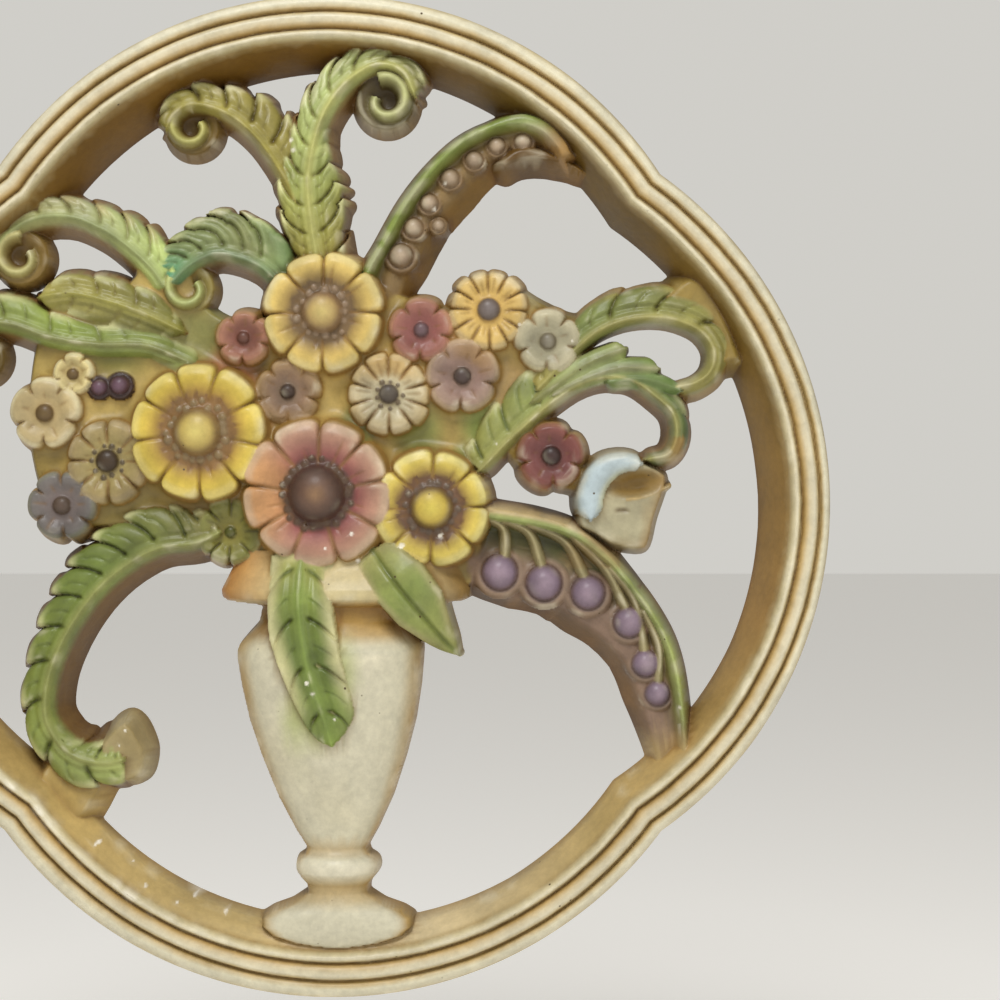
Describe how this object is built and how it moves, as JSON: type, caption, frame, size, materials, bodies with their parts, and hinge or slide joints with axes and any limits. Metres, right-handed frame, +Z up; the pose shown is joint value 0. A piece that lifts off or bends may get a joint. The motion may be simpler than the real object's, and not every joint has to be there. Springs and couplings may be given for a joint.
{
  "type": "wall plaque",
  "caption": "Openwork wall plaque: a lobed moulded frame round a footed vase of flowers, curling leaves and hanging sprays, flat at the back.",
  "frame": {"origin": "on the flat back of the frame, at the middle of its top rail, where the plaque hangs on the wall", "axes": "+Z up the wall, +Y into the wall, -Y out of the front, +X to the right seen from the front"},
  "size_m": [0.29, 0.0255, 0.29],
  "materials": {
    "painted_plaster": "satin varnish"
  },
  "bodies": {
    "root": {"plaque_casting": "painted_plaster"}
  },
  "joints": []
}
